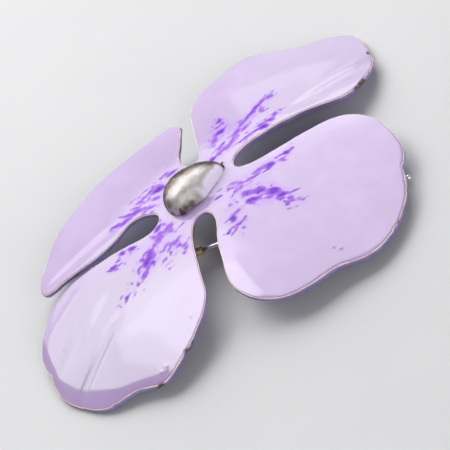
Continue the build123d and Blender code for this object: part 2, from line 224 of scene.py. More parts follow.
# Petals painted paler and greyer where the softbox's sheen lies on them, a painted highlight: bearing,
# spread, amount
SHEEN_PETALS = [(215, 28, 1), (25, 22, 0.5)]

# Places where the edge lost its glaze: distance from the hub, bearing, size
EDGE_CHIPS = [
    (37.4, 3.1, 2.6), (43.6, 15, 0.9), (19.9, 76, 0.9), (32.8, -80.5, 1.4),
    (34, -120.5, 2.4), (41.2, -52, 1.2), (24.2, -103, 1.4), (39.8, -127, 1.4),
]

# The silver pebble: its plan outline round the hub, and its height
BOSS_OUTLINE = [
    (6.7, -0.1), (5.8, 1.9), (3.5, 3.6), (0, 4.4), (-3.2, 4), (-5.4, 2.3), (-6.4, 0),
    (-6.4, -1.8), (-6, -3.3), (-4.9, -4.5), (-2.2, -4.7), (0.6, -4.5), (3.4, -3.2), (5.9, -1.6),
]
BOSS_FOOT = 0.02
BOSS_HEIGHT = 3.98
BOSS_WALL = 0.5
BOSS_PEAK = (-1.3, -1.1)
BOSS_SIDES = 160
SEAT_THICKNESS = 0.25
SEAT_INSET = 0.12
BASE_THICKNESS = 0.35
BASE_INSET = 0.35

# The claws: each has a root and a tip, points (out from the rim, height, half width), and a heading
CLAW_SIDES = 12
CLAW_THICKNESS = 0.11
CLAW_ROOT = [(0.04, -0.02, 0.62), (0.12, 0.15, 0.58), (0.13, 0.45, 0.52), (0.1, 0.75, 0.46),
             (0.03, 1, 0.4)]
CURLED_TIP = [(0.04, 1.2, 0.34), (0.14, 1.38, 0.28), (0.3, 1.42, 0.22), (0.4, 1.28, 0.16),
              (0.36, 1.12, 0.1)]
FLAT_TIP = [(-0.05, 1.2, 0.33), (-0.13, 1.35, 0.25), (-0.22, 1.46, 0.14)]
CLAWS = [(-3, CURLED_TIP), (130, FLAT_TIP), (228, FLAT_TIP)]

# Tarnish and painted shade on the pebble: the rows round its upper rim are a dark band painted as dark
# reflection, over some real patina; the rest are tarnish patches and fine streaks. x, y, height, radius,
# depth
TARNISH_AND_SHADE = [
    (-5.9, 0, 1.9, 1, 0.8), (-5, 1.4, 2.4, 1.2, 0.9), (-3.4, 2.5, 3, 1.2, 0.9),
    (-1.5, 3, 3.1, 1.2, 0.85), (0.6, 3, 3, 1.2, 0.85), (2.6, 2.6, 2.6, 1.2, 0.8),
    (4.6, 1.8, 1.9, 1.1, 0.8), (6.6, 0.4, 0.6, 0.9, 1), (-6.5, -1.2, 1.2, 0.8, 0.8),
    (-5.2, -2.3, 1.8, 1, 1.05), (-4.7, -3.5, 1.2, 0.8, 0.9), (-3.3, -4.5, 0.8, 0.8, 1),
    (-2, -4.6, 0.8, 0.8, 0.9), (-5.9, -3.3, 0.5, 0.6, 0.8), (-1.9, -2.2, 3.4, 0.14, 0.6),
    (-0.4, -3.9, 1.4, 0.7, 0.25), (-3.4, 1.4, 3.4, 0.24, 0.8), (-4.3, -0.4, 3.1, 0.2, 0.7),
    (-1.9, -2.4, 3.2, 0.22, 0.7), (-2.6, 0.7, 3.8, 0.16, 0.5), (-5.3, 0.6, 2.4, 0.2, 0.5),
    (-3, 4.2, 1.2, 2, 0.6), (2, 4, 1, 2, 0.6), (2.8, 0.9, 3.4, 1, 0.3),
]

# Lilac glaze that has crept up the pebble's side, and a painted reflection of the lilac petals on the silver
# there: x, y, radius, depth
CREEP_RISE = 0.4
CREEP_REACH = 0.6
CREPT_GLAZE_AND_REFLECTION = [
    (4.6, -2.7, 1.7, 1), (2.9, -3.7, 1.6, 0.95), (6, -1.6, 1.2, 0.9), (1.2, -4.7, 1.1, 0.6),
    (3.2, -2.2, 1.6, 0.75),
]

# Hardware behind the flower
STUD_RADIUS = 0.8
THREAD_PITCH = 0.35
THREAD_DEPTH = 0.1
THREAD_SIDES = 40
THREAD_ROWS = 10      # for each turn
WASHER_RADIUS = 3.0
WASHER_BORE = 0.85
RIVET_RADIUS = 0.42
RIVET_HEAD_RADIUS = 0.78
RIVET_HEAD = 0.3
RIVET_REACH = 1.7
STEM_RADIUS = 0.5
TANG_RADIUS = 0.33
STEM_START = 1.3
SHOULDER = 5.5
TAPER_START = 28.5
STEM_TIP = 40.8
GUARD_START = 29.0
GUARD_END = 42.2
GUARD_RADIUS = 1.0
GUARD_BORE = 0.7
GUARD_LIP = 0.08
GROOVES = (31.2, 32.0, 32.8, 33.6)
GROOVE_WIDTH = 0.3
GROOVE_DEPTH = 0.1
KNURL_START = 35.4
KNURL_END = 40.6
KNOB_RADIUS = 0.58
KNOB_END = 45.6


# ---- curves and surfaces

def natural_spline(points, spacing):
    """Points at an even spacing along the natural cubic spline through the given points."""
    given = np.array(points, float)
    gaps = np.linalg.norm(np.diff(given, axis=0), axis=1)
    knots = np.concatenate([[0], np.cumsum(gaps)])
    count = len(given)
    system = np.eye(count)
    right = np.zeros((count, 2))
    for i in range(1, count - 1):
        before, after = gaps[i - 1], gaps[i]
        system[i, i - 1:i + 2] = before, 2 * (before + after), after
        right[i] = 6 * ((given[i + 1] - given[i]) / after - (given[i] - given[i - 1]) / before)
    bend = np.linalg.solve(system, right)
    place = np.linspace(0, knots[-1], 8000)
    span = np.clip(np.searchsorted(knots, place, side="right") - 1, 0, count - 2)
    width = gaps[span][:, None]
    a = (knots[span + 1][:, None] - place[:, None]) / width
    b = 1 - a
    curve = (a * given[span] + b * given[span + 1]
             + ((a ** 3 - a) * bend[span] + (b ** 3 - b) * bend[span + 1]) * width ** 2 / 6)
    return resample(curve, spacing)


def resample(curve, spacing):
    """Evenly spaced points along a closed run of points, without the repeated last one."""
    gaps = np.linalg.norm(np.diff(curve, axis=0), axis=1)
    along = np.concatenate([[0], np.cumsum(gaps)])
    count = int(round(along[-1] / spacing))
    place = np.linspace(0, along[-1], count, endpoint=False)
    return np.stack([np.interp(place, along, curve[:, k]) for k in range(2)], axis=1)


def inward_normals(loop):
    """Unit normals of a counter-clockwise loop, pointing into it."""
    ahead = np.roll(loop, -1, axis=0) - np.roll(loop, 1, axis=0)
    normals = np.stack([-ahead[:, 1], ahead[:, 0]], axis=1)
    return normals / np.linalg.norm(normals, axis=1)[:, None]


def inset_scale(loop, normals, most):
    """How far each point can be moved inwards, as a share of the most, before the loop folds over."""
    allowed = np.full(len(loop), most)
    for step in np.arange(most, 0.05, -0.05):
        gap = distances(loop + normals * step, loop)
        allowed[gap < 0.98 * step] = step - 0.05
    width = 3
    near = np.stack([np.roll(allowed, k) for k in range(-width, width + 1)])
    lowest = near.min(axis=0)
    calm = np.stack([np.roll(lowest, k) for k in range(-width, width + 1)]).mean(axis=0)
    return np.minimum(1.0, 0.85 * np.minimum(calm, lowest + 0.05) / most)


def loop_noise(count, features, seed):
    """A smooth closed random wave between -1 and 1, with about that many features."""
    random = np.random.default_rng(seed)
    turn = np.linspace(0, 2 * math.pi, count, endpoint=False)
    wave = np.zeros(count)
    for harmonic in range(features // 2, features + 1, max(1, features // 14)):
        wave += random.normal() * np.cos(harmonic * turn + random.uniform(0, 2 * math.pi))
    return wave / np.abs(wave).max()


def smooth_step(value):
    value = np.clip(value, 0, 1)
    return value * value * (3 - 2 * value)


def spot(points, centre, radius):
    """1 at the centre, fading to almost 0 two radii away."""
    return np.exp(-(np.linalg.norm(points - np.array(centre), axis=1) / radius) ** 2)


def polar(distance, bearing):
    turn = math.radians(bearing)
    return distance * np.array([math.cos(turn), math.sin(turn)])


def fold_height(points):
    total = np.zeros(len(points))
    for start, end, width, height in FOLDS:
        start, end = np.array(start), np.array(end)
        run = end - start
        length = np.linalg.norm(run)
        along = (points - start) @ run / length ** 2
        across = np.abs((points - start) @ np.array([-run[1], run[0]]) / length)
        fade = smooth_step(along * 2.2) * smooth_step((1.35 - along) * 2.5)
        total += height * fade * np.exp(-(across / width) ** 2)
    return total


def tip_bend(points):
    """How far the left bottom petal's tip lies below the plain droop."""
    line = np.array(BEND_LINE) - BEND_CENTRE
    line_turn = np.degrees(np.arctan2(line[:, 1], line[:, 0])) % 360
    degrees = np.arange(360)
    line_radius = np.interp(degrees, line_turn, np.linalg.norm(line, axis=1))
    for _ in range(7):
        line_radius = (np.roll(line_radius, 3) + line_radius + np.roll(line_radius, -3)) / 3
    offset = points - np.array(BEND_CENTRE)
    turn = np.degrees(np.arctan2(offset[:, 1], offset[:, 0])) % 360
    beyond = np.linalg.norm(offset, axis=1) - np.interp(turn, degrees, line_radius)
    soft = BEND_SOFTNESS * np.logaddexp(0, beyond / BEND_SOFTNESS)
    inside = smooth_step((turn - 118) / 22) * smooth_step((272 - turn) / 10)
    return -BEND_SLOPE * soft * inside * (beyond > -2)


def sheet_height(points, depth=0.0):
    """Height of the flower's sheet at plan points, at a depth below the front surface."""
    reach = np.clip(np.linalg.norm(points, axis=1) - FLAT_RADIUS, 0, None)
    droop = -DROOP_RADIUS + np.sqrt((DROOP_RADIUS - depth) ** 2 - reach ** 2)
    bubbles = sum(height * spot(points, (x, y), radius) for x, y, radius, height in BUBBLES)
    return droop + fold_height(points) + tip_bend(points) + bubbles


# ---- meshes

def add_object(name, data):
    made = bpy.data.objects.new(name, data)
    bpy.context.scene.collection.objects.link(made)
    return made


def stand_for(piece, node):
    """The piece rides with a CAD node's body, stands for the node and takes its material."""
    bodies = RECORD["behaviour"]["bodies"].items()
    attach(piece, next(body for body, nodes in bodies if node in nodes))
    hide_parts(node)
    slot = next(part["material_slot"] for part in RECORD["subparts"] if part["node"] == node)
    piece.data.materials.append(MATERIALS[slot])


def make_piece(name, vertices, faces, node, smooth=True):
    """A mesh object from hub millimetres, which stands for a CAD node."""
    mesh = bpy.data.meshes.new(name)
    mesh.from_pydata((vertices * MM + HUB).tolist(), [], faces)
    mesh.validate()
    mesh.update()
    if smooth:
        mesh.shade_smooth()
    piece = add_object(name, mesh)
    stand_for(piece, node)
    return piece


def paint(piece, name, values):
    attribute = piece.data.attributes.new(name, "FLOAT", "POINT")
    attribute.data.foreach_set("value", np.asarray(values, np.float32))


def in_blocks(measure, points):
    """A measure of many points, taken block by block to save memory."""
    blocks = np.array_split(points, len(points) // 2000 + 1)
    return np.concatenate([measure(block) for block in blocks])


def distances(points, loop):
    """Distance from each point to the nearest point of a loop."""
    def nearest(block):
        return np.sqrt(((block[:, None] - loop) ** 2).sum(axis=2).min(axis=1))

    return in_blocks(nearest, points)


def inside_loop(points, loop):
    """Whether each point is inside a loop, by counting crossings."""
    after = np.roll(loop, -1, axis=0)
    slope = (after[:, 0] - loop[:, 0]) / (after[:, 1] - loop[:, 1] + 1e-12)

    def inside(block):
        x, y = block[:, :1], block[:, 1:]
        spans = (loop[:, 1] > y) != (after[:, 1] > y)
        crosses = spans & (x < loop[:, 0] + (y - loop[:, 1]) * slope)
        return crosses.sum(axis=1) % 2 == 1

    return in_blocks(inside, points)


def hex_points(low, high, spacing):
    rows = np.arange(low[1], high[1], spacing * math.sqrt(3) / 2)
    points = []
    for i, y in enumerate(rows):
        x = np.arange(low[0] + (i % 2) * spacing / 2, high[0], spacing)
        points.append(np.stack([x, np.full(len(x), y)], axis=1))
    return np.concatenate(points)


def fill_points(loop, spacing, margin, nearest, farthest=math.inf):
    """Evenly spread points inside a loop, a margin from it and at set distances from the hub."""
    points = hex_points(loop.min(axis=0), loop.max(axis=0), spacing)
    reach = np.linalg.norm(points, axis=1)
    points = points[(reach > nearest) & (reach < farthest)]
    points = points[inside_loop(points, loop)]
    return points[distances(points, loop) > margin]


def triangulate(outer, hole, inner_points):
    """Triangles between an outer loop and a hole. The vertices are outer, hole, inner points."""
    points = np.concatenate([outer, hole, inner_points])
    rim = np.arange(len(outer) + len(hole))
    after = np.concatenate([np.roll(part, -1) for part in np.split(rim, [len(outer)])])
    edges = np.column_stack([rim, after]).tolist()
    made = geometry.delaunay_2d_cdt([Vector(p) for p in points], edges, [], 0, 1e-7, True)
    faces = np.array([[made[3][i][0] for i in face] for face in made[2]])
    keep = (faces >= len(rim)).any(axis=1)
    middle = points[faces[~keep]].mean(axis=1)
    keep[~keep] = inside_loop(middle, outer) & ~inside_loop(middle, hole)
    return faces[keep]


def circle(radius, count=48):
    turn = np.linspace(0, 2 * math.pi, count, endpoint=False)
    return np.stack([radius * np.cos(turn), radius * np.sin(turn)], axis=1)


def lift(loop, height):
    """A plan loop at a height."""
    return np.column_stack([loop, np.full(len(loop), height)])


def bridge(lower, upper, count):
    """Quads between two closed rings of vertices that start at the given indices."""
    step = np.arange(count)
    after = (step + 1) % count
    return np.stack([lower + step, lower + after, upper + after, upper + step], axis=1)


def layer_solid(rings, hole_radius, top_points, bottom_points, height=sheet_height):
    """A closed solid with a round hole.

    rings run from the top cap's rim, round the edge, to the bottom cap's rim. Each is a plan loop
    with its level: one number, or one for each point. height gives z from plan points and a level.
    """
    hole = circle(hole_radius)
    vertices = [np.column_stack([loop, height(loop, level)]) for loop, level in rings]
    count, last = len(rings[0][0]), len(rings) - 1
    faces = []
    for i in range(last):
        faces += bridge((i + 1) * count, i * count, count).tolist()
    starts = []
    for ring, points, winding in ((0, top_points, 1), (last, bottom_points, -1)):
        loop, level = rings[ring]
        starts.append(sum(len(done) for done in vertices))
        added = np.concatenate([hole, points])
        vertices.append(np.column_stack([added, height(added, np.mean(level))]))
        indices = np.concatenate([ring * count + np.arange(count), starts[-1] + np.arange(len(added))])
        faces += indices[triangulate(loop, hole, points)][:, ::winding].tolist()
    faces += bridge(*starts, len(hole)).tolist()
    return np.concatenate(vertices), faces


def skin(rings, capped=False, looped=False):
    """Vertices and faces of a surface through rings of points. A ring of one point is a pole."""
    starts = np.cumsum([0] + [len(ring) for ring in rings]).tolist()
    count = max(len(ring) for ring in rings)
    faces = []
    for first in range(len(rings) if looped else len(rings) - 1):
        second = (first + 1) % len(rings)
        for k in range(count):
            corners = [(first, k), (first, k + 1), (second, k + 1), (second, k)]
            face = list(dict.fromkeys(starts[ring] + step % len(rings[ring]) for ring, step in corners))
            if len(face) > 2:
                faces.append(face)
    if capped:
        faces += [list(range(count))[::-1], list(range(starts[-2], starts[-1]))]
    return np.concatenate(rings), faces


def turned(profile, segments=64):
    """A lathe shape about X from (distance, radius) points, closed where the radius is 0."""
    rings = []
    for distance, radius in profile:
        ring = circle(radius, segments)[::-1] if radius > 1e-6 else np.zeros((1, 2))
        rings.append(np.roll(lift(ring, distance), 1, axis=1))
    return skin(rings, looped=len(rings[0]) > 1)


def rounded(profile, radius, steps=4):
    """A turned profile with its corners rounded."""
    points = np.array(profile)
    result = []
    for i, corner in enumerate(points):
        sides = [points[i - 1] - corner, points[(i + 1) % len(points)] - corner]
        lengths = [np.linalg.norm(side) for side in sides]
        reach = min(radius, min(lengths) / 2.2)
        if corner[1] <= 1e-6 or reach < 1e-4:
            result.append(corner)
            continue
        start, end = (corner + side / length * reach for side, length in zip(sides, lengths))
        for t in np.linspace(0, 1, steps + 1):
            result.append((1 - t) ** 2 * start + 2 * t * (1 - t) * corner + t ** 2 * end)
    return result


def joint(name):
    return next(j for j in RECORD["behaviour"]["joints"] if j["name"] == name)


def joint_frame(name):
    """A matrix in hub millimetres at the hinge, with its x along a joint's axis."""
    x_axis = Vector(joint(name)["axis"]).normalized()
    y_axis = Vector((0, 0, 1)).cross(x_axis).normalized()
    matrix = Matrix((x_axis, y_axis, x_axis.cross(y_axis))).transposed().to_4x4()
    matrix.translation = Vector(PIVOT)
    return np.array(matrix)


def in_frame(vertices, matrix):
    return vertices @ matrix[:3, :3].T + matrix[:3, 3]


PIVOT = (np.array(joint("stem_hinge")["pos_m"]) - HUB) / MM
STEM_FRAME = joint_frame("guard_slide")
RIVET_FRAME = joint_frame("stem_hinge")
UPRIGHT = np.eye(4)[[1, 2, 0, 3]]      # turns a lathe shape about X into one about Z


# ---- materials

def new_material(name):
    material = bpy.data.materials.new(name)
    material.use_nodes = True
    tree = material.node_tree
    return material, tree, tree.nodes["Principled BSDF"]


def fill(node, inputs):
    """Links or sets a shader node's inputs, each by its name or number."""
    for key, value in inputs.items():
        if isinstance(value, bpy.types.NodeSocket):
            node.id_data.links.new(value, node.inputs[key])
        else:
            node.inputs[key].default_value = value


def add(tree, kind, inputs=None, **properties):
    """A new shader node with its properties set and its inputs filled."""
    made = tree.nodes.new(kind)
    for key, value in properties.items():
        setattr(made, key, value)
    fill(made, inputs or {})
    return made


def object_place(tree):
    return add(tree, "ShaderNodeTexCoord").outputs["Object"]


def noise_field(tree, scale, detail=3.0, roughness=0.5, place=None):
    inputs = {"Vector": place or object_place(tree), "Scale": scale, "Detail": detail,
              "Roughness": roughness}
    return add(tree, "ShaderNodeTexNoise", inputs).outputs["Fac"]


def ragged(tree, scale, detail, roughness, amount):
    """Noise about 0, to break up the edge of a painted value."""
    centred = sums("SUBTRACT", noise_field(tree, scale, detail, roughness), 0.5)
    return times(centred, amount)


def grain_lines(tree, stretch):
    """Fine noise, stretched into lines by an uneven scale."""
    place = add(tree, "ShaderNodeMapping", {"Vector": object_place(tree), "Scale": stretch})
    return noise_field(tree, 1.0, 3, 0.6, place.outputs["Vector"])


def attribute(tree, name):
    return add(tree, "ShaderNodeAttribute", attribute_name=name).outputs["Fac"]


def remap(value, low, high, to_low=0.0, to_high=1.0):
    """Turns a rise from low to high into a smooth one from to_low to to_high."""
    inputs = {"Value": value, "From Min": low, "From Max": high, "To Min": to_low, "To Max": to_high}
    made = add(value.id_data, "ShaderNodeMapRange", inputs, interpolation_type="SMOOTHSTEP")
    return made.outputs["Result"]


def sums(operation, first, second):
    made = add(first.id_data, "ShaderNodeMath", {0: first, 1: second}, operation=operation)
    return made.outputs["Value"]


def times(first, second):
    return sums("MULTIPLY", first, second)


def plus(first, second):
    return sums("ADD", first, second)


def blend_colour(amount, first, second):
    inputs = {"Factor": amount}
    for key, colour in ((6, first), (7, second)):
        inputs[key] = (*colour, 1) if isinstance(colour, tuple) else colour
    return add(amount.id_data, "ShaderNodeMix", inputs, data_type="RGBA").outputs[2]


def bump(shader, height, distance, under=None):
    """Bumps on the shader, over an earlier bump's normal if one is given."""
    made = add(height.id_data, "ShaderNodeBump", {"Height": height, "Distance": distance, "Strength": 1.0})
    if under is not None:
        fill(made, {"Normal": under})
    fill(shader, {"Normal": made.outputs["Normal"]})
    return made.outputs["Normal"]


def pin_holes(tree, cells, share, radius):
    """Sparse small dots: 1 inside a dot, 0 elsewhere."""
    cell = add(tree, "ShaderNodeTexVoronoi", {"Vector": object_place(tree), "Scale": cells})
    chosen = add(tree, "ShaderNodeSeparateColor", {"Color": cell.outputs["Color"]})
    picked = sums("GREATER_THAN", chosen.outputs["Red"], 1 - share)
    return times(picked, remap(cell.outputs["Distance"], radius, radius * 0.45))


def front_glaze_material():
    material, tree, shader = new_material("lilac_glaze")
    cloud = remap(noise_field(tree, 90, 4, 0.55), 0.35, 0.68)
    colour = blend_colour(cloud, (0.435, 0.32, 0.55), (0.387, 0.278, 0.495))
    # Painted highlight: a paler, greyer lilac where the softbox's sheen lies on two petals
    colour = blend_colour(attribute(tree, "sheen_tone"), colour, (0.405, 0.33, 0.48))
    fleck = plus(attribute(tree, "fleck"), ragged(tree, 1700, 5, 0.65, 0.85))
    thin = remap(fleck, 0.16, 0.62)
    deep = remap(fleck, 0.58, 1.08)
    wash = attribute(tree, "wash")
    haze = remap(plus(wash, ragged(tree, 650, 4, 0.6, 1.3)), 0.10, 0.70, 0, 0.6)
    colour = blend_colour(times(haze, remap(wash, 0.03, 0.25)), colour, (0.33, 0.14, 0.62))
    colour = blend_colour(times(thin, 0.70), colour, (0.29, 0.075, 0.65))
    colour = blend_colour(times(deep, 0.9), colour, (0.09, 0.0, 0.45))
    pits = pin_holes(tree, 190, 0.15, 0.03)
    colour = blend_colour(times(pits, 0.8), colour, (0.06, 0.035, 0.09))
    wear = remap(noise_field(tree, 700, 4, 0.6), 0.3, 0.8, 0.07, 0.13)
    fill(shader, {"Base Color": colour, "Roughness": plus(wear, times(thin, 0.8)), "IOR": 1.62})
    swell = bump(shader, noise_field(tree, 170, 2, 0.4), 0.00005)
    bump(shader, times(pits, -1.0), 0.00006, under=swell)
    return material


def edge_damage(tree):
    """The painted chips, with a ragged edge."""
    return plus(attribute(tree, "chip"), ragged(tree, 1500, 5, 0.65, 1.9))


def copper_material():
    material, tree, shader = new_material("edge_copper")
    patch = noise_field(tree, 420, 4, 0.6)
    colour = blend_colour(remap(patch, 0.35, 0.7), (0.92, 0.76, 0.58), (0.80, 0.56, 0.38))
    colour = blend_colour(remap(edge_damage(tree), 0.45, 0.8), colour, (0.10, 0.05, 0.03))
    fill(shader, {"Base Color": colour, "Roughness": remap(patch, 0.3, 0.7, 0.36, 0.58), "Metallic": 0.0})
    bump(shader, noise_field(tree, 2600, 5, 0.65), 0.00004)
    return material


def back_glaze_material():
    material, tree, shader = new_material("violet_glaze")
    cloud = remap(noise_field(tree, 130, 5, 0.6), 0.35, 0.68)
    colour = blend_colour(cloud, (0.27, 0.21, 0.55), (0.15, 0.11, 0.34))
    speckle = remap(noise_field(tree, 2100, 3, 0.6), 0.62, 0.72)
    colour = blend_colour(times(speckle, 0.4), colour, (0.30, 0.26, 0.55))
    bare = remap(edge_damage(tree), 0.50, 0.72)
    colour = blend_colour(bare, colour, (0.10, 0.055, 0.035))
    fill(shader, {"Base Color": colour, "Roughness": remap(bare, 0, 1, 0.12, 0.6), "IOR": 1.52})
    swell = bump(shader, noise_field(tree, 260, 3, 0.5), 0.00012)
    bump(shader, noise_field(tree, 1900, 4, 0.6), 0.00002, under=swell)
    return material


def silver_material():
    material, tree, shader = new_material("worn_silver")
    mottle = ragged(tree, 520, 6, 0.68, 1.5)
    # tarnish_and_shade holds real tarnish and a dark band painted as shade (dark reflection) along the far
    # rim
    tarnish_and_shade = attribute(tree, "tarnish_and_shade")
    patchy = times(mottle, plus(times(tarnish_and_shade, 0.7), 0.7))
    stain_and_shade = plus(plus(tarnish_and_shade, patchy), times(ragged(tree, 2600, 5, 0.7, 0.9), tarnish_and_shade))
    colour = blend_colour(remap(stain_and_shade, -0.05, 0.6), (0.56, 0.53, 0.515), (0.22, 0.175, 0.155))
    black = remap(stain_and_shade, 0.5, 1.05)
    colour = blend_colour(black, colour, (0.055, 0.04, 0.035))
    lines = grain_lines(tree, (900, 3400, 2600))
    colour = blend_colour(remap(lines, 0.52, 0.72, 0, 0.35), colour, (0.20, 0.185, 0.175))
    # Lilac on the silver: glaze that crept up, and a painted reflection of the petals
    glazed_and_reflected = remap(plus(attribute(tree, "crept_glaze_and_reflection"), times(mottle, 0.25)), 0.10, 0.62)
    colour = blend_colour(glazed_and_reflected, colour, (0.92, 0.84, 1.0))
    smear = remap(noise_field(tree, 900, 4, 0.6), 0.3, 0.75, 0.50, 0.62)
    fill(shader, {"Base Color": colour, "Metallic": remap(glazed_and_reflected, 0, 1, 0.6, 0.0),
                  "Roughness": plus(smear, times(black, 0.15))})
    swell = bump(shader, noise_field(tree, 420, 3, 0.5), 0.00008)
    swell = bump(shader, lines, 0.00003, under=swell)
    bump(shader, times(pin_holes(tree, 900, 0.16, 0.16), -1.0), 0.00006, under=swell)
    return material


def metal_material(name, bright, dull, roughness, grain, grain_depth, spots=0.35):
    """A bare metal with drawn or brushed grain and dull spots. grain is the stretch of its lines."""
    material, tree, shader = new_material(name)
    patch = noise_field(tree, 520, 5, 0.62)
    lines = grain_lines(tree, grain)
    colour = blend_colour(remap(patch, 0.48, 0.75, 0, spots), bright, dull)
    colour = blend_colour(remap(lines, 0.5, 0.8, 0, 0.3), colour, dull)
    fill(shader, {"Base Color": colour, "Roughness": remap(patch, 0.3, 0.75, *roughness), "Metallic": 1.0})
    bump(shader, lines, grain_depth)
    return material


def nylon_material(name, light, dark):
    material, tree, shader = new_material(name)
    patch = noise_field(tree, 800, 4, 0.6)
    fill(shader, {
        "Base Color": blend_colour(remap(patch, 0.35, 0.7), light, dark),
        "Roughness": remap(patch, 0.3, 0.7, 0.42, 0.6),
        "Subsurface Weight": 0.15,
        "Subsurface Radius": (0.0006, 0.0005, 0.0004),
    })
    bump(shader, noise_field(tree, 3200, 3, 0.6), 0.00002)
    return material


MATERIALS = {
    "front_enamel": front_glaze_material(),
    "copper": copper_material(),
    "back_enamel": back_glaze_material(),
    "silver": silver_material(),
    "claw_copper": metal_material("dark_claw_copper", (0.17, 0.115, 0.095), (0.06, 0.042, 0.036),
                                  (0.32, 0.55), (700, 700, 2400), 0.00002, 0.8),
    "washer": nylon_material("washer_fibre", (0.62, 0.56, 0.46), (0.50, 0.43, 0.33)),
    "fitting_brass": metal_material("satin_brass", (0.80, 0.62, 0.33), (0.42, 0.29, 0.14),
                                    (0.24, 0.40), (420, 3600, 900), 0.000012),
    "steel": metal_material("drawn_steel", (0.70, 0.71, 0.73), (0.36, 0.36, 0.38),
                            (0.16, 0.28), (160, 3800, 3800), 0.000008),
    "guard_metal": metal_material("plated_guard", (0.82, 0.82, 0.84), (0.50, 0.49, 0.48),
                                  (0.12, 0.24), (4200, 260, 260), 0.000008, 0.2),
    "grip": nylon_material("grip_nylon", (0.78, 0.76, 0.70), (0.66, 0.63, 0.56)),
}


# ---- the flower

def dab_colour(points):
    """Depth of the brush colour at plan points, and of the thin wash round the dabs."""
    random = np.random.default_rng(7)
    order = np.argsort(points[:, 0])
    ordered = points[order]
    clear, unwashed = np.ones(len(points)), np.ones(len(points))
    for stroke_bearing, dabs in DAB_FANS.values():
        for distance, bearing, half_length, half_width, depth in np.array(dabs) / DAB_UNITS:
            centre = polar(distance, bearing)
            tilt = math.radians(stroke_bearing + random.normal(0, 6))
            lay_dab(ordered, clear, centre, tilt, 0.92 * half_length, 0.84 * half_width, depth)
            lay_dab(ordered, unwashed, centre, tilt, 1.7 * half_length, 2.3 * half_width, 0.4 * depth, 1.0)
            for _ in range(SPATTER_PER_DAB):
                away = random.normal(0, 0.8, 2) * (half_length + 0.6, half_width + 0.6)
                size = random.uniform(0.12, 0.30)
                faint = random.uniform(0.2, 0.75) * min(1, depth + 0.15)
                lay_dab(ordered, clear, centre + away, tilt, size * random.uniform(1.5, 3.5), size, faint)
    result = np.empty((2, len(points)))
    result[:, order] = 1 - clear, 1 - unwashed
    return result


def lay_dab(ordered, clear, centre, tilt, half_length, half_width, depth, power=1.7):
    """Adds one dab to the points, which are in order of x."""
    reach = 1.6 * max(half_length, half_width)
    first, last = np.searchsorted(ordered[:, 0], (centre[0] - reach, centre[0] + reach))
    offset = ordered[first:last] - centre
    along = (offset[:, 0] * math.cos(tilt) + offset[:, 1] * math.sin(tilt)) / half_length
    across = (-offset[:, 0] * math.sin(tilt) + offset[:, 1] * math.cos(tilt)) / half_width
    clear[first:last] *= 1 - min(depth, 0.98) * np.exp(-0.8 * (along ** 2 + across ** 2) ** power)


def painted_sheen(points):
    """Where a paler, greyer tone is painted as the softbox's sheen, a painted highlight. The turned-down
    tip, which turns away from that light, keeps its full tone.
    """
    reach = np.linalg.norm(points, axis=1)
    bearing = np.degrees(np.arctan2(points[:, 1], points[:, 0])) % 360
    sheen_tone = np.zeros(len(points))
    for middle, spread, amount in SHEEN_PETALS:
        sheen_tone += amount * np.exp(-((bearing - middle) / spread) ** 6)
    tip = smooth_step(-tip_bend(points) / 0.08)
    return sheen_tone * smooth_step((reach - 10) / 14) * (1 - tip)


def chip_field(points):
    chips = [spot(points, polar(distance, bearing), size) for distance, bearing, size in EDGE_CHIPS]
    return np.clip(np.sum(chips, axis=0), 0, 1)


def edge_wear(outline):
    """How far the sawn edge is worn back from the outline at each point."""
    fine, broad = loop_noise(len(outline), 260, 8), loop_noise(len(outline), 90, 9)
    wear = 0.05 * (1 + fine) * 0.5 + 0.05 * (1 + broad)
    return wear + sum(depth * spot(outline, (x, y), width) for x, y, depth, width in NICKS)


def creep_height(points):
    """How far the glaze climbs against the pebble, on the side where it has crept up."""
    line = boss_line()
    near = np.linalg.norm(points, axis=1) < 10
    height = np.zeros(len(points))
    close = points[near]
    gap = np.where(inside_loop(close, line), 0.0, distances(close, line))
    bearing = np.degrees(np.arctan2(close[:, 1], close[:, 0]))
    side = smooth_step((bearing + 100) / 40) * smooth_step((20 - bearing) / 35)
    height[near] = CREEP_RISE * side * np.exp(-gap / CREEP_REACH)
    return height


def glaze_points(outline):
    """Points of the front surface: close together where it is painted, and round each bubble."""
    fine = fill_points(outline, FINE_SPACING, 0.8, 2.3, PAINTED_REACH)
    far = fill_points(outline, FAR_SPACING, 0.85, PAINTED_REACH + 0.4)
    discs = []
    for x, y, radius, _ in BUBBLES:
        centre = np.array([x, y])
        far = far[np.linalg.norm(far - centre, axis=1) >= 3 * radius]
        disc = hex_points(centre - 2.6 * radius, centre + 2.6 * radius, radius / 3.5)
        discs.append(disc[np.linalg.norm(disc - centre, axis=1) < 2.5 * radius])
    return np.concatenate([fine, far, *discs])


def build_front_glaze(outline, inset, coarse):
    """The lilac glaze. It stops inside the edge and rolls over there, down to the copper."""
    count = len(outline)
    stop = 0.15 + 0.05 * loop_noise(count, 160, 3) + 0.05 * loop_noise(count, 40, 4)
    rings = [(inset(stop + 0.45), 0.0), (inset(stop + 0.24), 0.004)]
    for angle in np.radians(np.linspace(90, 0, 6)):
        rings.append((inset(stop + 0.13 * (1 - math.cos(angle))), 0.15 - 0.14 * math.sin(angle)))
    rings.append((inset(stop + 0.02), FRONT_THICKNESS + 0.01))
    vertices, faces = layer_solid(rings, 2.0, glaze_points(outline), coarse)
    plan = vertices[:, :2]
    surface = vertices[:, 2] > sheet_height(plan) - 0.01
    vertices[surface, 2] += creep_height(plan[surface])
    glaze = make_piece("petal_glaze", vertices, faces, "front_enamel")
    fleck, wash = dab_colour(plan)
    paint(glaze, "fleck", fleck)
    paint(glaze, "wash", wash)
    paint(glaze, "sheen_tone", painted_sheen(plan))


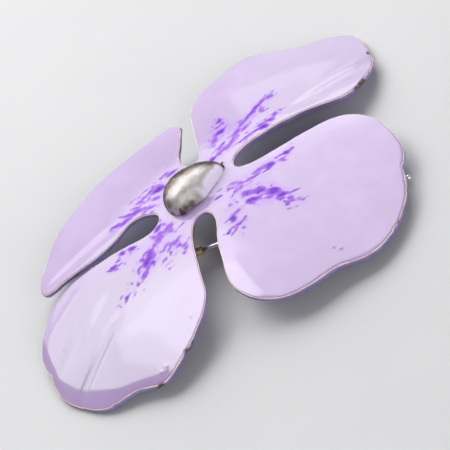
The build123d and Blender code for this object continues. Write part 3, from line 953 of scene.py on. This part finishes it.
def build_copper(outline, inset, coarse):
    """The copper sheet. A bare ledge and a strip of its wall show between the glazes."""
    crest = 0.10 + 0.03 * loop_noise(len(outline), 40, 4)
    rings = [
        (inset(0.5), FRONT_THICKNESS), (inset(0.33), FRONT_THICKNESS - 0.01), (inset(0.30), crest + 0.02),
        (inset(0.12), crest), (inset(0.05), crest + 0.02), (inset(0.02), crest + 0.08),
        (inset(0.03), 0.5), (inset(0.07), CORE_BACK),
    ]
    vertices, faces = layer_solid(rings, WASHER_BORE, coarse, coarse)
    paint(make_piece("copper_sheet", vertices, faces, "flower_core"), "chip", chip_field(vertices[:, :2]))


def build_back_glaze(outline, inset, coarse):
    """The violet glaze. It wraps round the edge and part of the way up the wall."""
    count = len(outline)
    top = 0.26 + 0.05 * loop_noise(count, 120, 5) + 0.04 * loop_noise(count, 30, 6)
    rings = [
        (inset(0.5), CORE_BACK), (inset(0.08), CORE_BACK), (inset(0.06), top + 0.03), (inset(0.03), top),
        (inset(0), top + 0.05), (inset(-0.02), 0.6), (inset(0), 0.85), (inset(0.08), 0.97),
        (inset(0.2), SHEET_THICKNESS - 0.01), (inset(0.4), SHEET_THICKNESS),
    ]
    vertices, faces = layer_solid(rings, 1.4, coarse, fill_points(outline, 0.8, 0.9, 2.0))
    paint(make_piece("back_glaze", vertices, faces, "back_enamel"), "chip", chip_field(vertices[:, :2]))


def build_flower():
    petals = LEFT_TOP_PETAL + LEFT_BOTTOM_PETAL + RIGHT_BOTTOM_PETAL + RIGHT_TOP_PETAL + LEFT_TOP_LOBE
    outline = natural_spline(petals, EDGE_SPACING)
    outline = outline + inward_normals(outline) * edge_wear(outline)[:, None]
    normals = inward_normals(outline)
    scale = inset_scale(outline, normals, 0.75)

    def inset(distance):
        return outline + normals * (scale * distance)[:, None]

    coarse = fill_points(outline, 2.0, 1.6, 2.6)
    build_front_glaze(outline, inset, coarse)
    build_copper(outline, inset, coarse)
    build_back_glaze(outline, inset, coarse)


# ---- boss, seat and claws

def boss_line():
    """The pebble's outline as a smooth closed curve."""
    given = np.array(BOSS_OUTLINE)
    curve = natural_spline(np.concatenate([given, given, given, given[:1]]), 0.02)
    lap = len(curve) // 3
    return curve[lap:2 * lap][np.linspace(0, lap, BOSS_SIDES, endpoint=False).astype(int)]


def pebble(outline, height, shrink, rows):
    """Rings of a pebble from its foot to its peak, each shrunk towards the peak."""
    peak = np.array(BOSS_PEAK)
    rim = outline + inward_normals(outline) * shrink
    rings = []
    for climb in np.radians(90 * np.arange(rows) / rows):
        plan = peak + (rim - peak) * math.cos(climb) ** 0.84
        rings.append(lift(plan, height * math.sin(climb) ** 0.97))
    return rings + [np.array([[*peak, height]])]


def far_flank_patina_and_shade(vertices):
    """1 on the pebble's far, upper-left side, which faces away from the camera: a painted dark reflection
    there, over real patina, falling to 0.
    """
    x, y, z = vertices.T
    slope = np.stack([(x - BOSS_PEAK[0]) / 6.5 ** 2, (y - BOSS_PEAK[1]) / 4.6 ** 2, z / BOSS_HEIGHT ** 2])
    slope /= np.linalg.norm(slope, axis=0)
    facing_camera = slope[0] * 0.10 - slope[1] * 0.77 + slope[2] * 0.64
    return smooth_step((0.74 - facing_camera) / 0.55)


def paint_boss(boss, vertices):
    # Real tarnish patches, and rows round the upper rim painted as dark reflection
    stain_and_shade_layers = [depth * spot(vertices, (x, y, z), radius) for x, y, z, radius, depth in TARNISH_AND_SHADE]
    # The far flank: painted dark reflection, over real patina
    stain_and_shade_layers.append(0.95 * far_flank_patina_and_shade(vertices))
    # Darker towards the pebble's foot, within about 0.2 mm of the seat
    stain_and_shade_layers.append(0.8 * np.exp(-np.clip(vertices[:, 2] - BOSS_FOOT, 0, None) / 0.18))
    # Lilac where glaze crept up, and a painted reflection of the petals, fading above 1.6 mm
    glaze = [depth * spot(vertices[:, :2], (x, y), radius) for x, y, radius, depth in CREPT_GLAZE_AND_REFLECTION]
    crept_and_reflected = np.max(glaze, axis=0) * np.exp(-(np.clip(vertices[:, 2] - 1.6, 0, None) / 1.3) ** 2)
    paint(boss, "tarnish_and_shade", np.max(stain_and_shade_layers, axis=0) * (1 - crept_and_reflected))
    paint(boss, "crept_glaze_and_reflection", crept_and_reflected)


def build_boss():
    """The hollow pebble: rings down its inside, round its tucked-in foot and up its outside."""
    outline = boss_line()
    inner = pebble(outline, BOSS_HEIGHT - BOSS_WALL, BOSS_WALL, 24)
    outer = pebble(outline, BOSS_HEIGHT, 0.0, 44)
    outer[0][:, 2] += 0.1
    foot = lift(outline + inward_normals(outline) * 0.14, 0.0)
    vertices, faces = skin(inner[::-1] + [foot] + outer)
    for vertex in vertices:
        x, y, z = vertex
        broad = noise.noise(Vector((x * 0.45, y * 0.45, 2.0)))
        dent = 0.16 * broad + 0.03 * noise.noise(Vector((x, y, z)))
        vertex[2] += dent * min(1.0, z / 1.5) + BOSS_FOOT
    paint_boss(make_piece("boss_pebble", vertices, faces, "boss_shell"), vertices)


def plate(name, outline, low, high, edge, node):
    """A flat plate between two heights with rounded edges and a hole for the stud."""
    normals = inward_normals(outline)
    corner = [(edge, 0), (edge * 0.3, edge * 0.3), (0, edge)]
    levels = [(inset, high - drop) for inset, drop in corner]
    levels += [(inset, low + drop) for inset, drop in corner[::-1]]
    rings = [(outline + normals * inset, level) for inset, level in levels]
    none = np.empty((0, 2))
    vertices, faces = layer_solid(rings, STUD_RADIUS, none, none,
                                  lambda points, level: np.full(len(points), level))
    make_piece(name, vertices, faces, node)


def claw_mesh(outline, heading, tip):
    """One claw: a strip that rises from the seat's rim and ends in one of the two tips."""
    bearing = np.arctan2(outline[:, 1], outline[:, 0])
    index = int(np.argmin(np.abs(np.angle(np.exp(1j * (bearing - math.radians(heading)))))))
    outward = -inward_normals(outline)[index]
    sideways = np.array([-outward[1], outward[0]])
    path = np.array(CLAW_ROOT + tip)
    spin = np.linspace(0, 2 * math.pi, CLAW_SIDES, endpoint=False)
    push = CLAW_THICKNESS * np.sign(np.sin(spin)) * np.abs(np.sin(spin)) ** 0.7
    rings = []
    for i, (out, rise, width) in enumerate(path):
        ahead = (path[min(i + 1, len(path) - 1)] - path[max(i - 1, 0)])[:2]
        ahead = ahead / np.linalg.norm(ahead)
        reach = out + ahead[1] * push
        plan = outline[index] + np.outer(reach, outward) + np.outer(width * np.cos(spin), sideways)
        rings.append(np.column_stack([plan, rise - ahead[0] * push + 0.1]))
    return skin(rings, capped=True)


def build_seat():
    line = boss_line()
    inward = inward_normals(line)
    plate("claw_plate", line + inward * SEAT_INSET, 0.0, SEAT_THICKNESS, 0.07, "claw_seat")
    for number, (heading, tip) in enumerate(CLAWS, 1):
        vertices, faces = claw_mesh(line, heading, tip)
        claw = make_piece(f"claw_{number}", vertices, faces, "claw_seat")
        smoother = claw.modifiers.new("smooth", "SUBSURF")
        smoother.levels = 2
        smoother.render_levels = 2
    floor_top = SEAT_THICKNESS + BASE_THICKNESS
    plate("boss_floor", line + inward * BASE_INSET, SEAT_THICKNESS, floor_top, 0.08, "boss_base")


# ---- fittings behind the flower

def threaded(low, high):
    """A stud along Z with a real helical thread."""
    rows = int((high - low) / THREAD_PITCH * THREAD_ROWS)
    around = np.arange(THREAD_SIDES) / THREAD_SIDES
    rings = []
    for z in low + (high - low) * np.arange(rows + 1) / rows:
        end = min(1.0, min(z - low, high - z) / 0.15)
        ridge = 1 - np.abs(2 * ((z / THREAD_PITCH - around) % 1) - 1)
        radius = STUD_RADIUS - THREAD_DEPTH * (1 - ridge) - 0.12 * (1 - end)
        rings.append(lift(radius[:, None] * circle(1, THREAD_SIDES), z))
    return skin(rings, capped=True)


def bevelled_copy(node, name, width):
    """The CAD node's own mesh with its sharp edges rounded, as a new piece that stands for it."""
    mesh = frame["nodes"][node].data.copy()
    mesh.name = name
    mesh.materials.clear()
    work = bmesh.new()
    work.from_mesh(mesh)
    bmesh.ops.remove_doubles(work, verts=work.verts, dist=0.000002)
    bmesh.ops.dissolve_limit(work, angle_limit=math.radians(2), verts=work.verts, edges=work.edges)
    work.to_mesh(mesh)
    work.free()
    mesh.shade_smooth()
    piece = add_object(name, mesh)
    edge = piece.modifiers.new("edge", "BEVEL")
    edge.width = width * MM
    edge.segments = 3
    edge.limit_method = "ANGLE"
    edge.angle_limit = math.radians(35)
    edge.harden_normals = True
    stand_for(piece, node)


def height_range(node):
    """A CAD node's lowest and highest z in hub millimetres."""
    return [(corner[2] - HUB[2]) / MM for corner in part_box(node)]


def build_stud():
    vertices, faces = threaded(*height_range("boss_stud"))
    make_piece("threaded_stud", vertices, faces, "boss_stud", smooth=False)


def lathe_piece(name, profile, segments, matrix, node):
    vertices, faces = turned(profile, segments)
    make_piece(name, in_frame(vertices, matrix), faces, node)


def build_washer():
    low, high = height_range("back_washer")
    section = [(low, WASHER_BORE), (low, WASHER_RADIUS), (high, WASHER_RADIUS), (high, WASHER_BORE)]
    lathe_piece("fibre_washer", rounded(section, 0.14), 96, UPRIGHT, "back_washer")


def build_rivet():
    half = [(0.0, RIVET_RADIUS), (RIVET_REACH, RIVET_RADIUS), (RIVET_REACH, RIVET_HEAD_RADIUS)]
    half += [(RIVET_REACH + RIVET_HEAD * math.sin(a), RIVET_HEAD_RADIUS * math.cos(a))
             for a in np.radians(np.linspace(8, 84, 8))]
    half.append((RIVET_REACH + RIVET_HEAD, 0.0))
    mirrored = [(-x, r) for x, r in half[1:]]
    lathe_piece("domed_rivet", mirrored[::-1] + half, 48, RIVET_FRAME, "hinge_rivet")


def build_stem():
    profile = [(STEM_START, 0.0), (STEM_START, TANG_RADIUS), (SHOULDER, TANG_RADIUS),
               (SHOULDER, STEM_RADIUS - 0.08), (SHOULDER + 0.08, STEM_RADIUS),
               (SHOULDER + 0.4, STEM_RADIUS), (TAPER_START, STEM_RADIUS)]
    profile += [(TAPER_START + (STEM_TIP - TAPER_START) * t, STEM_RADIUS * (1 - t ** 1.35) + 0.03)
                for t in np.linspace(0.08, 0.985, 18)]
    profile.append((STEM_TIP, 0.0))
    lathe_piece("steel_stem", profile, 48, STEM_FRAME, "stem")


def build_guard():
    lip_radius, groove_radius = GUARD_RADIUS + GUARD_LIP, GUARD_RADIUS - GROOVE_DEPTH
    knurl_radius = GUARD_RADIUS - 0.04
    lip_end = GUARD_START + 0.6
    profile = [(GUARD_START, GUARD_BORE), (GUARD_START, lip_radius), (lip_end, lip_radius),
               (lip_end, GUARD_RADIUS)]
    for start in GROOVES:
        end = start + GROOVE_WIDTH
        profile += [(start, GUARD_RADIUS), (start, groove_radius), (end, groove_radius), (end, GUARD_RADIUS)]
    profile.append((KNURL_START, GUARD_RADIUS))
    profile += [(x, knurl_radius) for x in np.linspace(KNURL_START, KNURL_END, 70)]
    profile += [(KNURL_END, GUARD_RADIUS), (GUARD_END, GUARD_RADIUS), (GUARD_END, GUARD_BORE)]
    vertices, faces = turned(rounded(profile, 0.06, 3), 120)
    make_piece("guard_tube", in_frame(knurled(vertices), STEM_FRAME), faces, "guard_barrel")


def knurled(vertices):
    """Raises a diamond pattern on the guard between the knurl's ends."""
    radius = np.hypot(vertices[:, 1], vertices[:, 2])
    turn = np.arctan2(vertices[:, 2], vertices[:, 1])
    inside = (vertices[:, 0] > KNURL_START + 0.05) & (vertices[:, 0] < KNURL_END - 0.05)
    inside &= radius > GUARD_BORE + 0.1
    slant = vertices[:, 0] * 11.0
    diamond = np.abs(np.sin(10 * turn + slant / 2)) * np.abs(np.sin(10 * turn - slant / 2))
    grow = np.where(inside, 1 + 0.05 * diamond / np.maximum(radius, 0.1), 1.0)
    return vertices * np.column_stack([np.ones(len(vertices)), grow, grow])


def build_cap():
    plug_radius, dome_start = GUARD_BORE - 0.02, KNOB_END - 0.55
    profile = [(GUARD_END - 0.6, 0.0), (GUARD_END - 0.6, plug_radius), (GUARD_END, plug_radius),
               (GUARD_END, 0.9), (GUARD_END + 0.12, 0.88), (GUARD_END + 0.5, KNOB_RADIUS),
               (dome_start, KNOB_RADIUS)]
    profile += [(dome_start + 0.55 * math.sin(a), KNOB_RADIUS * math.cos(a))
                for a in np.radians(np.linspace(12, 82, 9))]
    profile.append((KNOB_END, 0.0))
    lathe_piece("guard_knob", profile, 64, STEM_FRAME, "guard_cap")


def build_fittings():
    build_stud()
    build_washer()
    bevelled_copy("stud_nut", "hex_nut", 0.06)
    bevelled_copy("hinge_bracket", "pressed_bracket", 0.09)
    bevelled_copy("stem_knuckle", "bored_knuckle", 0.05)
    build_rivet()
    build_stem()
    build_guard()
    build_cap()
    grip = frame["nodes"]["guard_grip"]
    grip.data.materials.clear()
    grip.data.materials.append(MATERIALS["grip"])


# ---- stage

AIM = np.array([0.73, -13.51, -0.35])
CAMERA_TILT = math.radians(50)      # from the flower's normal
CAMERA_ROLL = math.radians(35)
CAMERA_DISTANCE = 320.0
CAMERA_LENS = 142.08
LIGHT_CENTRE = np.array([0.0, -4.0, -2.0])
SOFTBOX_AZIMUTH = -1
SOFTBOX_ELEVATION = 40
SOFTBOX_DISTANCE = 0.62
# One large softbox with an uneven glow: sides of each panel in metres, and its radiance
SOFTBOX_PANELS = [
    ((-0.45, 0.40, -0.44, 0.46), 1.6),
    ((-0.44, 0.38, -0.08, 0.44), 2.1),
    ((-0.28, 0.01, 0.09, 0.42), 1.5),
    ((-0.22, -0.04, 0.15, 0.36), 1.3),
    ((0.12, 0.36, -0.24, 0.02), 0.9),
]
FLOOR_LIGHT = (0.60, 0.60, 0.60)
FLOOR_DARK = (0.576, 0.576, 0.579)


def look_at(thing, point, turn, offset):
    """Turns a camera or light, and puts it at an offset from a point in hub millimetres."""
    place = Vector((point * MM + HUB).tolist()) + turn @ Vector(offset)
    thing.matrix_world = Matrix.Translation(place) @ turn


def build_camera():
    data = bpy.data.cameras.new("camera")
    data.lens = CAMERA_LENS
    data.sensor_width = 36.0
    data.clip_start = 0.01
    data.clip_end = 10.0
    camera = add_object("camera", data)
    turn = Matrix.Rotation(CAMERA_TILT, 4, "X") @ Matrix.Rotation(-CAMERA_ROLL, 4, "Z")
    look_at(camera, AIM, turn, (0, 0, CAMERA_DISTANCE * MM))
    bpy.context.scene.camera = camera


def panel(name, azimuth, elevation, distance, sides, radiance):
    """An area light on a plane that faces the flower from a direction.

    azimuth 0 is +Y and 90 is +X. sides are left, right, bottom and top on the plane, in metres.
    """
    left, right, bottom, top = sides
    data = bpy.data.lights.new(name, "AREA")
    data.shape = "RECTANGLE"
    data.size = right - left
    data.size_y = top - bottom
    data.energy = radiance * math.pi * data.size * data.size_y
    tilt = Matrix.Rotation(math.radians(90 - elevation), 4, "X")
    turn = Matrix.Rotation(math.radians(180 - azimuth), 4, "Z") @ tilt
    look_at(add_object(name, data), LIGHT_CENTRE, turn, (-(left + right) / 2, (bottom + top) / 2, distance))


def see_through_from_below(tree, shader):
    side = add(tree, "ShaderNodeNewGeometry").outputs["Backfacing"]
    clear = add(tree, "ShaderNodeBsdfTransparent").outputs["BSDF"]
    mixed = add(tree, "ShaderNodeMixShader", {0: side, 1: shader.outputs["BSDF"], 2: clear})
    fill(tree.nodes["Material Output"], {"Surface": mixed.outputs["Shader"]})


def build_floor():
    bpy.ops.mesh.primitive_plane_add(size=4.0, location=(0, 0, 0))
    floor = bpy.context.object
    floor.name = "floor"
    material, tree, shader = new_material("floor_paper")
    colour = blend_colour(remap(noise_field(tree, 14, 3), 0.3, 0.7), FLOOR_LIGHT, FLOOR_DARK)
    fill(shader, {"Base Color": colour, "Roughness": 0.9, "Specular IOR Level": 0.1})
    see_through_from_below(tree, shader)
    floor.data.materials.append(material)


def build_lights():
    for number, (sides, radiance) in enumerate(SOFTBOX_PANELS):
        distance = SOFTBOX_DISTANCE + 0.004 * number
        panel(f"softbox_{number}", SOFTBOX_AZIMUTH, SOFTBOX_ELEVATION, distance, sides, radiance)
    panel("front_fill", 165, 25, 0.9, (-0.25, 0.25, -0.25, 0.25), 4.5)
    world = bpy.data.worlds.new("studio")
    world.use_nodes = True
    fill(world.node_tree.nodes["Background"], {"Color": (0.93, 0.94, 1.0, 1), "Strength": 0.25})
    bpy.context.scene.world = world
    bpy.context.scene.view_settings.view_transform = "Standard"


# ---- build

build_camera()
build_floor()
build_lights()
build_flower()
build_boss()
build_seat()
build_fittings()
